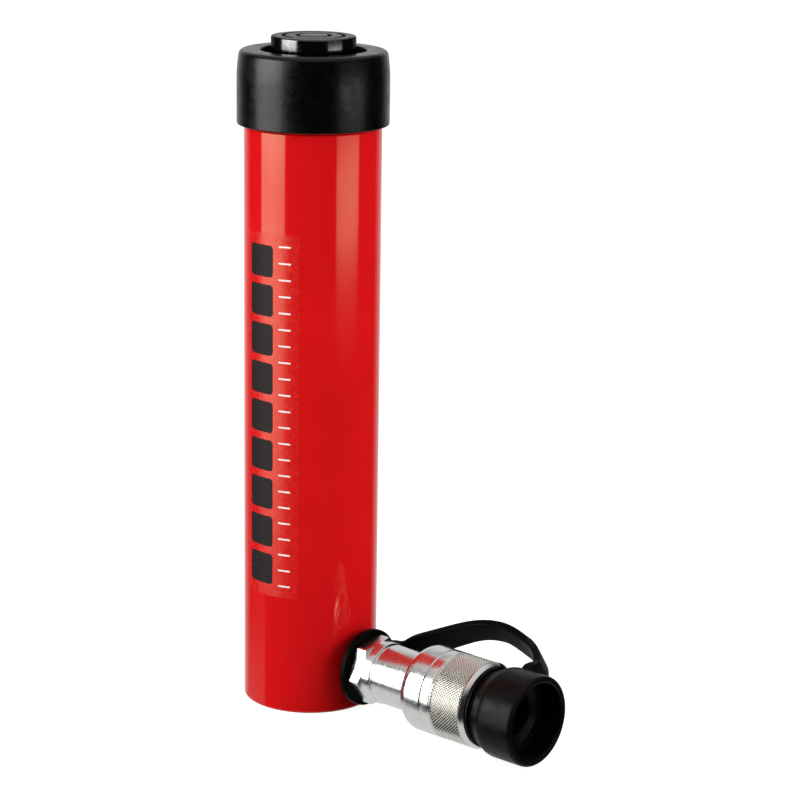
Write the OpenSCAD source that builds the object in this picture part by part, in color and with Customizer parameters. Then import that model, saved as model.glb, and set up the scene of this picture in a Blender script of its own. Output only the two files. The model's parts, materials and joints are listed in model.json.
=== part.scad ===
// Single-acting, spring-return hydraulic cylinder with a threaded collar and a screw coupler.
// Millimetres. The origin is the centre of the base face, +Z is the way the plunger moves,
// and the oil port with its coupler points along +X.

/* [Cylinder body] */
// Outside diameter of the body
body_od = 57; // [56:0.5:58]
// Bore that the piston runs in
bore_d = 42.9; // [42.5:0.1:43.2]
// Height of the closed cylinder over its saddle
closed_h = 284; // [284:1:320]
// Travel of the plunger
stroke = 200; // [100:5:200]
// Height of the bore's floor over the base face
floor_h = 31; // [30:0.5:31]
// Height of the oil port's axis over the base face
port_h = 19.2; // [19.2:0.1:20]
// Distance between the two threaded mounting holes in the base
base_hole_pitch = 39.7; // [36:0.1:42]
// Diameter of the mounting holes
base_hole_d = 7.94; // [6:0.01:9]
// Depth of the mounting holes
base_hole_depth = 12.7; // [8:0.1:14]
// Length of the collar thread at the top of the body
collar_thread_l = 26; // [20:1:28]
// Pitch of the collar thread
collar_pitch = 1.814; // [1.5:0.001:2]

/* [Plunger] */
// Diameter of the plunger rod
rod_d = 38.1; // [37.5:0.1:38.5]
// Diameter of the space for the return spring inside the plunger
rod_cavity_d = 24; // [23.5:0.5:25]
// Height of the piston head
head_h = 19; // [18:0.5:19]
// Depth of the threaded hole in the plunger's top
rod_thread_depth = 19; // [16:1:22]

/* [Saddle and thread protector] */
// Diameter of the saddle
saddle_d = 35; // [33:0.5:37]
// Thickness of the saddle's disc
saddle_h = 9; // [8:0.5:12]
// Outside diameter of the thread protector
protector_od = 63; // [62:0.5:66]
// Height of the thread protector
protector_h = 30.4; // [28:0.2:31]
// Opening in the thread protector's lip
protector_opening_d = 43.6; // [42:0.2:46]

/* [Coupler] */
// Start of the coupler's hexagon, measured from the body's axis
hex_x = 35.4; // [35.2:0.1:36]
// Length of the hexagon
hex_l = 6.1; // [5.5:0.1:7]
// Width of the hexagon across its flats
hex_af = 25.4; // [25:0.1:26]
// Angle that the hexagon stops at when it is tight
hex_clock = 38; // [0:1:59]
// Diameter of the coupler's neck
neck_d = 25.4; // [25:0.1:25.8]
// Diameter of the threaded sleeve
sleeve_d = 36.4; // [36:0.1:37]
// Start of the sleeve
sleeve_x = 65; // [64:0.5:66]
// End of the sleeve
sleeve_end_x = 101; // [100.5:0.5:101]
// Travel of the coupler's valve
valve_travel = 4; // [2:0.5:4]

/* [Dust cap] */
// Outside diameter of the rubber dust cap
cap_d = 37.8; // [37:0.1:38]
// End of the dust cap, measured from the body's axis
cap_end_x = 125.8; // [124:0.1:128]
// Opening at the mouth of the dust cap
cap_mouth_d = 32; // [31:0.1:33]
// Opening of the inner recess of the dust cap
cap_recess_d = 19.8; // [19:0.1:24]
// Outside diameter of the ring that holds the strap
strap_ring_d = 33; // [32:0.2:34]
// Thickness of the ring that holds the strap
strap_ring_t = 3; // [2.6:0.1:3.4]
// Width of the strap
strap_w = 11; // [9:0.5:11]
// Thickness of the strap
strap_t = 3.2; // [2.4:0.1:3.4]

/* [Decal] */
// Width of the decal, measured round the body
decal_w = 30; // [20:1:40]
// Height of the decal's lower edge
decal_z = 51; // [40:1:60]
// Height of the decal
decal_h = 155; // [100:1:160]
// Angle of the decal's middle round the body
decal_angle = -87; // [-120:1:-60]

/* [Hidden] */

fine = 144;
small = 72;

body_r = body_od / 2;
bore_r = bore_d / 2;
rod_r = rod_d / 2;
cavity_r = rod_cavity_d / 2;
body_h = closed_h - saddle_h - 0.5;
thread_z0 = body_h - collar_thread_l;
thread_depth = 0.9;

// Clearance of parts that sit still in their seats, running clearance of the bearings and seals,
// and free clearance of all other moving faces
seat_gap = 0.05;
run_gap = 0.04;
free_gap = 0.35;

// Piston head and the stop ring that it meets at full travel
head_z0 = floor_h + 0.5;
head_z1 = head_z0 + head_h;
head_r = bore_r - free_gap;
stop_z0 = head_z1 + stroke;
stop_z1 = body_h - 0.5;
stop_r = 23.75;
rod_top = closed_h - saddle_h;

// Grooves inside the stop ring
wiper_w = 3.15;
wiper_z0 = stop_z1 - 5;
rod_bearing_t = 1.6;
rod_bearing_z0 = stop_z0 + 3;
rod_bearing_z1 = stop_z1 - 8;

// Grooves of the piston head
seal_land_r = 17.2;
seal_z0 = head_z0 + 3.2;
seal_z1 = head_z0 + 10.1;
backup_h = 2;
retainer_groove_r = seal_land_r - 0.7;
retainer_z0 = head_z0 + 1;
retainer_h = 2;
bearing_groove_z = head_z0 + 12;
bearing_h = 5;
bearing_groove_r = head_r - 1.6;
ring_split = 1.2;

// Return spring and its two anchors
spring_wire_r = 1.6;
spring_r = 9.2;
anchor_hole_r = 5;
anchor_hole_h = 11;
anchor_flange_h = 4;
anchor_nose_r = 7.3;
anchor_nose_h = 10;
cavity_top = rod_top - rod_thread_depth - 12;
top_flange_h = 7;
spring_z0 = floor_h + anchor_flange_h + spring_wire_r + 0.2;
spring_z1 = cavity_top - top_flange_h - spring_wire_r - 0.2;
spring_turns = 40;

// Saddle, which snaps into the threaded hole of the plunger
rod_thread_r = 11.75;
rod_thread_depth_r = 0.9;
rod_thread_pitch = 3.175;
stem_r = 11.3;
stem_h = 13;
saddle_groove_r = 10.3;
saddle_groove_z = rod_top - 9;
saddle_groove_h = 1.6;

// Coupler, whose round parts lie round the port's axis
port_r = 8.4;
port_x0 = 14.5;
oil_hole_r = 2.5;
neck_r = neck_d / 2;
hex_corner_r = hex_af / 2 / cos(30);
collar_x = hex_x + hex_l;
collar_r = 13.1;
collar_end_x = 45.7;
neck_relief_r = 12.1;
cavity_x = 50;
valve_cavity_r = 8.6;
neck_end_x = 86;
sleeve_r = sleeve_d / 2;
sleeve_thread_r = 14.3;
sleeve_shoulder_r = 5.6;
snap_groove_r = 11.4;
snap_groove_x = 73.9;
snap_groove_w = 2.1;
oil_way_r = 3.6;

// Nose piece, which holds the valve's seat
nose_r = 9.9;
nose_bore_r = 5;
nose_insert_x = 76.3;
nose_tip_x = 96;
seat_x = 78.5;
nose_groove_r = 8.6;
nose_groove_x = 91;
nose_groove_w = 2.4;

// Valve
guide_h = 3;
guide_hole_r = 2.1;
valve_wire_r = 0.6;
valve_spring_r = 4.6;
valve_spring_turns = 6;
poppet_r = 6.8;
poppet_x0 = 69.9;
poppet_groove_r = 5.7;
poppet_groove_x = 72.2;
poppet_groove_w = 2;
poppet_stem_r = 2;
poppet_tail_x = cavity_x + valve_travel + 0.2;
poppet_tip_r = 2.2;
poppet_tip_x = 94.6;

// Dust cap
cap_r = cap_d / 2;
plug_in_r = 10.6;
plug_out_r = 13.9;
plug_x0 = 89;
web_x = 98;
flange_r = 17.2;
cone_r = 15.9;
cone_x0 = 102.6;
cone_x1 = 110;
recess_x = 105;
ledge_x = 115;

// Strap: points as [place along the port's axis, distance from it, angle back from the top].
// The last one lies inside the cap, whose surface cuts the strap off
strap_knots = [[33.7, 16.2, 87], [38.5, 20.6, 84], [47.1, 23.7, 71.1], [69.4, 31.7, 55.5],
    [83.7, 35.7, 55.5], [95.9, 34.6, 61], [107, 28.9, 56], [113, 22.8, 51], [114.5, 19, 47],
    [115.3, 15.4, 44]];
strap_steps = 5;

// ---- functions ----

// Points of a thread's flanks from one height to another, crest first
function thread_flanks(crest_r, root_r, from, to, pitch) =
    let (n = floor(abs(to - from) / pitch), step = sign(to - from) * pitch)
    concat([for (i = [0:n - 1]) each [[crest_r, from + i * step],
        [root_r, from + (i + 0.5) * step]]], [[crest_r, from + n * step]]);

// Points of an arc, from one angle to another
function arc(centre, r, from, to, n) =
    [for (i = [0:n]) let (a = from + (to - from) * i / n) centre + r * [cos(a), sin(a)]];

// Point of a smooth curve through b and c, between its neighbours a and d
function curve_point(a, b, c, d, t) =
    (2 * b + (c - a) * t + (2 * a - 5 * b + 4 * c - d) * t * t
    + (3 * b - a - 3 * c + d) * t * t * t) / 2;

// Points of a smooth curve through all the knots
function curve_through(k, steps) =
    let (n = len(k), p = concat([2 * k[0] - k[1]], k, [2 * k[n - 1] - k[n - 2]]))
    concat([for (i = [1:n - 1]) for (j = [0:steps - 1])
        curve_point(p[i - 1], p[i], p[i + 1], p[i + 2], j / steps)], [k[n - 1]]);

// Faces that close a tube whose rings of points follow one another
function tube_faces(rings, sides) = concat(
    [[for (j = [0:sides - 1]) sides - 1 - j]],
    [for (i = [0:rings - 2]) for (j = [0:sides - 1]) let (k = (j + 1) % sides)
        each [[i * sides + j, i * sides + k, (i + 1) * sides + k],
            [i * sides + j, (i + 1) * sides + k, (i + 1) * sides + j]]],
    [[for (j = [0:sides - 1]) (rings - 1) * sides + j]]);

// ---- shared shapes ----

module turned(points, fn = fine) {
    rotate_extrude($fn = fn) polygon(points);
}

module ring(r_in, r_out, z0, z1, fn = fine) {
    turned([[r_in, z0], [r_out, z0], [r_out, z1], [r_in, z1]], fn);
}

module torus(r, wire_r, z) {
    translate([0, 0, z]) rotate_extrude($fn = small) translate([r, 0]) circle(wire_r, $fn = 24);
}

// Turns a shape drawn along +Z so that it lies along the port's axis
module on_port_axis() {
    translate([0, 0, port_h]) rotate([0, 90, 0]) children();
}

// Coil spring from one end of its wire's centre line to the other
module coil(r, wire_r, z0, z1, turns, per_turn, sides) {
    n = turns * per_turn;
    lean = atan((z1 - z0) / turns / (2 * PI * r));
    points = [for (i = [0:n]) for (j = [0:sides - 1])
        let (a = 360 * i / per_turn, b = 360 * j / sides, u = wire_r * cos(b), v = wire_r * sin(b))
        [(r + u) * cos(a) + v * sin(lean) * sin(a),
            (r + u) * sin(a) - v * sin(lean) * cos(a),
            z0 + (z1 - z0) * i / n + v * cos(lean)]];
    polyhedron(points, tube_faces(n + 1, sides), convexity = 10);
}

// ---- barrel ----

module cylinder_body() {
    relief_z = thread_z0 - 1.5;
    relief_r = body_r - thread_depth - 0.2;
    color("red") difference() {
        turned(concat(
            [[0, 0], [body_r - 1, 0]],
            arc([body_r - 1, 1], 1, -90, 0, 4),
            [[body_r, relief_z - 0.4], [relief_r, relief_z], [relief_r, thread_z0]],
            thread_flanks(body_r, body_r - thread_depth, thread_z0 + 0.4, body_h - 0.6, collar_pitch),
            [[body_r - thread_depth, body_h], [stop_r + 0.4, body_h], [stop_r, body_h - 0.4],
                [stop_r, stop_z0], [bore_r + 0.4, stop_z0], [bore_r, stop_z0 - 1],
                [bore_r, floor_h + 1], [bore_r - 1, floor_h], [0, floor_h]]));
        for (side = [-1, 1])
            translate([0, side * base_hole_pitch / 2, -1])
                cylinder(h = base_hole_depth + 1, d = base_hole_d, $fn = small);
        on_port_axis() translate([0, 0, port_x0]) cylinder(h = body_r, r = port_r, $fn = small);
        translate([port_x0 + 2.6, 0, port_h]) cylinder(h = floor_h, r = oil_hole_r, $fn = small);
        translate([0, 0, floor_h - anchor_hole_h])
            cylinder(h = anchor_hole_h + 1, r = anchor_hole_r, $fn = small);
    }
}

module stop_ring() {
    spanner_slot_r = 1;
    spanner_slot_h = 4;
    inner_r = rod_r + free_gap;
    bearing_seat_r = rod_r + rod_bearing_t;
    color("dimgray") difference() {
        turned([[inner_r, stop_z0], [bore_r + 0.2, stop_z0], [stop_r, stop_z0 + 1.2],
            [stop_r, stop_z1 - 0.6], [stop_r - 0.6, stop_z1], [rod_r + wiper_w, stop_z1],
            [rod_r + wiper_w, wiper_z0], [inner_r, wiper_z0], [inner_r, rod_bearing_z1],
            [bearing_seat_r, rod_bearing_z1], [bearing_seat_r, rod_bearing_z0],
            [inner_r, rod_bearing_z0]]);
        for (a = [45, 225])
            rotate(a) translate([stop_r, 0, stop_z1 - spanner_slot_h])
                cylinder(h = spanner_slot_h + 1, r = spanner_slot_r, $fn = small);
    }
}

module rod_bearing() {
    color("darkgoldenrod") difference() {
        ring(rod_r + run_gap, rod_r + rod_bearing_t, rod_bearing_z0, rod_bearing_z1);
        translate([0, -ring_split / 2, stop_z0]) cube([rod_d, ring_split, stop_z1]);
    }
}

module rod_wiper() {
    lip_z = wiper_z0 + 5.6;
    heel_r = rod_r + 1.2;
    color("black") turned([[heel_r, wiper_z0], [rod_r + wiper_w, wiper_z0],
        [rod_r + wiper_w, lip_z - 1.2], [rod_r + 2.2, lip_z - 0.6], [rod_r + run_gap, lip_z],
        [rod_r + run_gap, lip_z - 0.7], [heel_r, lip_z - 2]]);
}

module spring_anchor() {
    pin_r = anchor_hole_r - seat_gap;
    pin_z = floor_h - anchor_hole_h + 1;
    flange_r = cavity_r - 1.2;
    z1 = floor_h + anchor_flange_h;
    color("gray") turned([[0, pin_z], [pin_r - 0.8, pin_z], [pin_r, pin_z + 0.8],
        [pin_r, floor_h], [flange_r, floor_h], [flange_r, z1], [anchor_nose_r, z1],
        [anchor_nose_r, z1 + anchor_nose_h - 1], [anchor_nose_r - 1, z1 + anchor_nose_h],
        [0, z1 + anchor_nose_h]], small);
}

module return_spring() {
    color("silver") coil(spring_r, spring_wire_r, spring_z0, spring_z1, spring_turns, 12, 6);
}

module body_decal() {
    film = 0.12;
    half = decal_w / 2 / body_r * 180 / PI;
    color("salmon") translate([0, 0, decal_z]) rotate(decal_angle - half)
        rotate_extrude(angle = 2 * half, $fn = fine)
            translate([body_r, 0]) square([film, decal_h]);
}

// ---- coupler, fixed part ----

module coupler_body() {
    color("lightgray") on_port_axis() difference() {
        union() {
            turned(concat([[0, port_x0 + 1], [7, port_x0 + 1]],
                thread_flanks(8.35, 7.6, port_x0 + 2, 27.6, 1.41),
                [[8.35, hex_x + 0.1], [0, hex_x + 0.1]]), small);
            intersection() {
                rotate(hex_clock) translate([0, 0, hex_x])
                    cylinder(h = hex_l, d = hex_af / cos(30), $fn = 6);
                turned([[0, hex_x], [collar_r, hex_x], [hex_corner_r, hex_x + 0.9],
                    [hex_corner_r, collar_x - 0.8], [collar_r, collar_x], [0, collar_x]]);
            }
            turned([[0, collar_x - 0.1], [collar_r, collar_x - 0.1], [collar_r, collar_end_x],
                [neck_relief_r, collar_end_x + 0.4], [neck_relief_r, collar_end_x + 1],
                [neck_r, collar_end_x + 1.3],
                [neck_r, snap_groove_x], [snap_groove_r, snap_groove_x],
                [snap_groove_r, snap_groove_x + snap_groove_w],
                [neck_r, snap_groove_x + snap_groove_w], [neck_r, neck_end_x - 0.6],
                [neck_r - 0.6, neck_end_x], [0, neck_end_x]]);
        }
        translate([0, 0, port_x0]) cylinder(h = 40, r = oil_way_r, $fn = small);
        translate([0, 0, cavity_x]) cylinder(h = 40, r = valve_cavity_r, $fn = small);
    }
}

module valve_guide() {
    way_r = 1.6;
    way_circle_r = 5.6;
    color("gray") on_port_axis() difference() {
        ring(guide_hole_r, valve_cavity_r - 0.02, cavity_x, cavity_x + guide_h, small);
        for (a = [0, 120, 240])
            rotate(a) translate([way_circle_r, 0, cavity_x - 1])
                cylinder(h = guide_h + 2, r = way_r, $fn = 24);
    }
}

module valve_spring() {
    end_gap = 0.1;
    x0 = cavity_x + guide_h + valve_wire_r + end_gap;
    x1 = poppet_x0 - valve_wire_r - end_gap;
    color("silver") on_port_axis()
        coil(valve_spring_r, valve_wire_r, x0, x1, valve_spring_turns, 12, 6);
}

module coupler_nose() {
    insert_r = valve_cavity_r - seat_gap;
    flange_r = neck_r - 0.2;
    flange_x1 = neck_end_x + 2;
    groove_x1 = nose_groove_x + nose_groove_w;
    color("silver") on_port_axis() turned([[nose_bore_r, seat_x], [7.3, nose_insert_x],
        [insert_r, nose_insert_x], [insert_r, neck_end_x], [flange_r, neck_end_x],
        [flange_r, flange_x1], [nose_r, flange_x1], [nose_r, nose_groove_x],
        [nose_groove_r, nose_groove_x], [nose_groove_r, groove_x1], [nose_r, groove_x1],
        [nose_r, nose_tip_x - 1], [nose_r - 1, nose_tip_x], [nose_bore_r + 0.4, nose_tip_x],
        [nose_bore_r, nose_tip_x - 0.4]]);
}

module nose_seal() {
    cord_r = 0.83;
    color("black") on_port_axis()
        torus(nose_groove_r + cord_r + 0.02, cord_r, nose_groove_x + nose_groove_w / 2);
}

module sleeve_snap_ring() {
    wire_r = 0.9;
    split = 3;
    color("gray") on_port_axis() difference() {
        torus(snap_groove_r + wire_r + seat_gap, wire_r, snap_groove_x + snap_groove_w / 2);
        translate([0, -split / 2, snap_groove_x - 1]) cube([neck_d, split, snap_groove_w + 2]);
    }
}

// ---- coupler, moving parts ----

module coupler_sleeve() {
    groove_x = 78;
    groove = 0.5;
    chamfer = 1.4;
    shoulder = sleeve_shoulder_r;
    inner_r = neck_r + 0.05;
    bore_x = 72;
    thread_pitch = 1.81;
    thread_h = 0.8;
    color("silver") on_port_axis() turned(concat(
        [[inner_r, sleeve_x]],
        arc([sleeve_r - shoulder, sleeve_x + shoulder], shoulder, -72, 0, 8),
        [[sleeve_r, groove_x - groove], [sleeve_r - groove, groove_x],
            [sleeve_r, groove_x + groove], [sleeve_r, sleeve_end_x - chamfer],
            [sleeve_r - chamfer, sleeve_end_x], [sleeve_thread_r + 0.7, sleeve_end_x],
            [sleeve_thread_r, sleeve_end_x - 0.7]],
        thread_flanks(sleeve_thread_r, sleeve_thread_r + thread_h, sleeve_end_x - 1,
            neck_end_x - 0.5, thread_pitch),
        [[sleeve_thread_r, bore_x], [inner_r, bore_x]]));
}

module valve_poppet() {
    cone_x = 76.1;
    groove_x1 = poppet_groove_x + poppet_groove_w;
    color("silver") on_port_axis() turned([[0, poppet_tail_x], [poppet_stem_r - 0.4, poppet_tail_x],
        [poppet_stem_r, poppet_tail_x + 0.6], [poppet_stem_r, poppet_x0], [poppet_r, poppet_x0],
        [poppet_r, poppet_groove_x], [poppet_groove_r, poppet_groove_x],
        [poppet_groove_r, groove_x1], [poppet_r, groove_x1], [poppet_r, cone_x],
        [4.7, cone_x + 2.2], [poppet_tip_r, cone_x + 3.5], [poppet_tip_r, poppet_tip_x - 0.6],
        [poppet_tip_r - 0.6, poppet_tip_x], [0, poppet_tip_x]], small);
}

module poppet_seal() {
    color("black") on_port_axis()
        ring(poppet_groove_r + 0.02, poppet_r + 0.5, poppet_groove_x + seat_gap,
            poppet_groove_x + poppet_groove_w - seat_gap, small);
}

// ---- plunger ----

module plunger() {
    land = seal_land_r;
    retainer_z1 = retainer_z0 + retainer_h;
    bearing_z1 = bearing_groove_z + bearing_h;
    root_r = rod_thread_r + rod_thread_depth_r;
    thread_floor = rod_top - rod_thread_depth;
    color("silver") turned(concat(
        [[0, cavity_top], [cavity_r, cavity_top], [cavity_r, head_z0], [land - 0.6, head_z0],
            [land, head_z0 + 0.6], [land, retainer_z0], [retainer_groove_r, retainer_z0],
            [retainer_groove_r, retainer_z1], [land, retainer_z1], [land, seal_z1],
            [head_r, seal_z1], [head_r, bearing_groove_z], [bearing_groove_r, bearing_groove_z],
            [bearing_groove_r, bearing_z1], [head_r, bearing_z1], [head_r, head_z1 - 0.6],
            [head_r - 0.6, head_z1], [rod_r, head_z1], [rod_r, rod_top - 0.8],
            [rod_r - 0.8, rod_top], [root_r, rod_top]],
        thread_flanks(rod_thread_r, root_r, rod_top - 0.9, thread_floor + 2, rod_thread_pitch),
        [[rod_thread_r, thread_floor], [0, thread_floor]]));
}

module spring_top_anchor() {
    r = cavity_r - seat_gap;
    z0 = cavity_top - top_flange_h;
    z1 = cavity_top - 0.02;
    color("gray") turned([[0, z0 - anchor_nose_h], [anchor_nose_r - 1, z0 - anchor_nose_h],
        [anchor_nose_r, z0 - anchor_nose_h + 1], [anchor_nose_r, z0], [r, z0], [r, z1], [0, z1]]);
}

module piston_bearing() {
    color("darkgoldenrod") difference() {
        ring(bearing_groove_r + seat_gap, bore_r - run_gap, bearing_groove_z + seat_gap,
            bearing_groove_z + bearing_h - seat_gap);
        translate([0, -ring_split / 2, bearing_groove_z - 1])
            cube([bore_d, ring_split, bearing_h + 2]);
    }
}

module backup_ring() {
    color("white")
        ring(seal_land_r + seat_gap, head_r + 0.1, seal_z1 - backup_h, seal_z1 - seat_gap);
}

module piston_seal() {
    root_r = seal_land_r + seat_gap;
    z1 = seal_z1 - backup_h - seat_gap;
    middle = (seal_land_r + bore_r) / 2;
    color("saddlebrown") turned([[root_r, seal_z0], [root_r + 0.8, seal_z0],
        [middle, seal_z0 + 2], [bore_r - 0.8, seal_z0], [bore_r - run_gap, seal_z0 + 0.3],
        [bore_r - run_gap, seal_z0 + 1.2], [head_r, seal_z0 + 2], [head_r, z1], [root_r, z1]]);
}

module seal_retaining_ring() {
    split = 4;
    color("gray") difference() {
        ring(retainer_groove_r + seat_gap, head_r - 0.4, retainer_z0 + seat_gap,
            retainer_z0 + retainer_h - seat_gap);
        translate([0, -split / 2, head_z0]) cube([bore_d, split, retainer_h + 2]);
    }
}

// ---- saddle and thread protector ----

module saddle() {
    r = saddle_d / 2;
    stem_z0 = rod_top - stem_h;
    snap_z1 = saddle_groove_z + saddle_groove_h;
    face_grooves = [11.6, 5.9];
    groove = 1.2;
    groove_w = 1.6;
    color("dimgray") turned(concat(
        [[0, stem_z0], [stem_r - 0.8, stem_z0], [stem_r, stem_z0 + 0.8],
            [stem_r, saddle_groove_z], [saddle_groove_r, saddle_groove_z],
            [saddle_groove_r, snap_z1], [stem_r, snap_z1], [stem_r, rod_top],
            [r - 0.6, rod_top], [r, rod_top + 0.6], [r, closed_h - 0.8], [r - 0.4, closed_h - 0.25],
            [r - 0.9, closed_h]],
        [for (inner = face_grooves) each [[inner + groove_w, closed_h],
            [inner + groove_w - 0.3, closed_h - groove], [inner + 0.3, closed_h - groove],
            [inner, closed_h]]],
        [[0, closed_h]]));
}

module saddle_snap_ring() {
    wire_r = 0.7;
    split = 2;
    color("gray") difference() {
        torus(saddle_groove_r + wire_r + 0.02, wire_r, saddle_groove_z + saddle_groove_h / 2);
        translate([0, -split / 2, saddle_groove_z - 1])
            cube([rod_d, split, saddle_groove_h + 2]);
    }
}

module thread_protector() {
    r = protector_od / 2;
    opening_r = protector_opening_d / 2;
    lip_z = body_h + 0.7;
    lip_h = 3.2;
    z1 = lip_z + lip_h;
    z0 = z1 - protector_h;
    taper = 0.55;
    edge_r = 2;
    inner_r = body_r + free_gap;
    root_r = inner_r + 0.8;
    color([0.12, 0.12, 0.13]) turned(concat(
        [[inner_r + 0.6, z0], [r - 0.5, z0], [r, z0 + 0.5], [r, z1 - 8], [r - taper, z1 - 3]],
        arc([r - taper - 0.05 - edge_r, z1 - edge_r], edge_r, 5, 90, 5),
        [[opening_r + 0.6, z1], [opening_r, z1 - 0.6], [opening_r, lip_z], [root_r, lip_z],
            [inner_r, lip_z - 0.6]],
        thread_flanks(inner_r, root_r, lip_z - 1, z0 + 2, collar_pitch),
        [[inner_r, z0 + 0.6]]));
}

// ---- dust cap, its ring and its strap ----

module strap_ring() {
    r = strap_ring_d / 2;
    hole_r = port_r + 0.3;
    hub_r = 11;
    edge_r = 1;
    hub_x = body_r + 0.5;
    x1 = hex_x - 0.2;
    x0 = x1 - strap_ring_t;
    color([0.13, 0.13, 0.13]) on_port_axis() turned(concat(
        [[hole_r, hub_x], [hub_r, hub_x], [hub_r, x0], [r - edge_r, x0]],
        arc([r - edge_r, x0 + edge_r], edge_r, -90, 0, 4),
        arc([r - edge_r, x1 - edge_r], edge_r, 0, 90, 4),
        [[hole_r, x1]]));
}

module cap_strap() {
    // Half of the cross-section along the strap's width and thickness, with cut corners
    w = strap_w / 2;
    t = strap_t / 2;
    c = 0.7;
    cap_gap = 0.1;
    section = [[w, t - c], [w - c, t], [c - w, t], [-w, t - c], [-w, c - t], [c - w, -t],
        [w - c, -t], [w, c - t]];
    route = curve_through(strap_knots, strap_steps);
    places = [for (k = route) [k[0], k[1] * sin(k[2]), port_h + k[1] * cos(k[2])]];
    last = len(places) - 1;
    points = [for (i = [0:last])
        let (ahead = places[min(i + 1, last)] - places[max(i - 1, 0)],
            along = ahead / norm(ahead),
            level = [0, cos(route[i][2]), -sin(route[i][2])],
            up = cross(along, level) / norm(cross(along, level)),
            across = cross(up, along))
        each [for (s = section) places[i] + s[0] * across + s[1] * up]];
    color([0.13, 0.13, 0.13]) difference() {
        polyhedron(points, tube_faces(last + 1, len(section)));
        on_port_axis() translate([0, 0, cone_x1])
            cylinder(h = cap_end_x, r = cap_r + cap_gap, $fn = fine);
    }
}

module dust_cap() {
    mouth_r = cap_mouth_d / 2;
    recess_r = cap_recess_d / 2;
    rim_r = 1.4;
    lip_r = 0.6;
    funnel = 3;
    funnel_depth = 1.8;
    flange_x = sleeve_end_x + 0.5;
    color([0.13, 0.13, 0.13]) on_port_axis() turned(concat(
        [[0, web_x], [plug_in_r, web_x], [plug_in_r, plug_x0 + 0.6], [plug_in_r + 0.4, plug_x0],
            [plug_out_r - 0.7, plug_x0], [plug_out_r, plug_x0 + 0.8], [plug_out_r, flange_x],
            [flange_r - 0.2, flange_x], [flange_r, cone_x0 - 0.3], [cone_r, cone_x0 + 0.3],
            [cap_r - 0.9, cone_x1 - 2.4], [cap_r - 0.2, cone_x1 - 0.8], [cap_r, cone_x1 + 1]],
        arc([cap_r - rim_r, cap_end_x - rim_r], rim_r, 0, 90, 4),
        arc([mouth_r + lip_r, cap_end_x - lip_r], lip_r, 90, 180, 3),
        [[mouth_r - 0.3, ledge_x], [recess_r + funnel, ledge_x], [recess_r, ledge_x - funnel_depth],
            [recess_r - 0.3, recess_x], [0, recess_x]]));
}

// ---- the assembly ----

cylinder_body();
stop_ring();
rod_bearing();
rod_wiper();
spring_anchor();
return_spring();
body_decal();
coupler_body();
valve_guide();
valve_spring();
coupler_nose();
nose_seal();
sleeve_snap_ring();
plunger();
spring_top_anchor();
piston_bearing();
backup_ring();
piston_seal();
seal_retaining_ring();
saddle();
saddle_snap_ring();
thread_protector();
coupler_sleeve();
valve_poppet();
poppet_seal();
strap_ring();
cap_strap();
dust_cap();
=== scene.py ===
import json
import math

import bmesh
import bpy
import numpy as np
from mathutils import Matrix, Vector


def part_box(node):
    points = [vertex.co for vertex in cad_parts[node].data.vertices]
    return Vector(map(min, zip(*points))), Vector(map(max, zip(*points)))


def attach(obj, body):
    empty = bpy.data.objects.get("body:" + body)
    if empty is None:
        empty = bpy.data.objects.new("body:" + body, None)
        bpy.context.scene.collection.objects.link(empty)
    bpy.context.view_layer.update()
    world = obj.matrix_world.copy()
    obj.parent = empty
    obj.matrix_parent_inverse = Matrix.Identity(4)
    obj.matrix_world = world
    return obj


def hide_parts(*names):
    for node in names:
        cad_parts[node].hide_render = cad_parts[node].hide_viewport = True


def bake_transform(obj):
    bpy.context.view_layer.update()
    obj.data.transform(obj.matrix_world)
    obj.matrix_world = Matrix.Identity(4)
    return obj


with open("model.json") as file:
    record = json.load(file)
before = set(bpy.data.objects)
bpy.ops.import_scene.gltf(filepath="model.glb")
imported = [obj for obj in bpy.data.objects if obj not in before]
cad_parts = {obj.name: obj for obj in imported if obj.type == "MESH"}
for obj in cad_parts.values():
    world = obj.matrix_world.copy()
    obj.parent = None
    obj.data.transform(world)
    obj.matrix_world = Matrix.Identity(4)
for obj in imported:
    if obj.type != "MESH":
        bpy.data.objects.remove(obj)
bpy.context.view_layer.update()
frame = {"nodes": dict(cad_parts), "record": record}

MM = 0.001
TURN = 2 * math.pi

# ---------------------------------------------------------------- places taken from the frame

body_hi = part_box("cylinder_body")[1]
collar_lo, collar_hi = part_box("thread_protector")
saddle_lo, saddle_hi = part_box("saddle")
plunger_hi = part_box("plunger")[1]
sleeve_lo, sleeve_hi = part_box("coupler_sleeve")
hex_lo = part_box("coupler_body")[0]
ring_lo, ring_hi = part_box("strap_ring")
cap_lo, cap_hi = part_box("dust_cap")
decal_lo, decal_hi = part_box("body_decal")
spring_lo, spring_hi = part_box("return_spring")
valve_spring_lo, valve_spring_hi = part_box("valve_spring")

BODY_R = body_hi.x
BODY_TOP = body_hi.z
COLLAR_R = collar_hi.x
SADDLE_R = saddle_hi.x
SADDLE_TOP = saddle_hi.z
ROD_TOP = plunger_hi.z
PORT_Z = (sleeve_lo.z + sleeve_hi.z) / 2
SLEEVE_R = (sleeve_hi.z - sleeve_lo.z) / 2
CAP_R = (cap_hi.z - cap_lo.z) / 2
RING_R = (ring_hi.z - ring_lo.z) / 2
CAP_END = cap_hi.x
SLEEVE_START = sleeve_lo.x
SLEEVE_END = sleeve_hi.x


# ---------------------------------------------------------------- camera, floor and light

CAMERA_AZIMUTH = math.radians(43.29)


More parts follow.
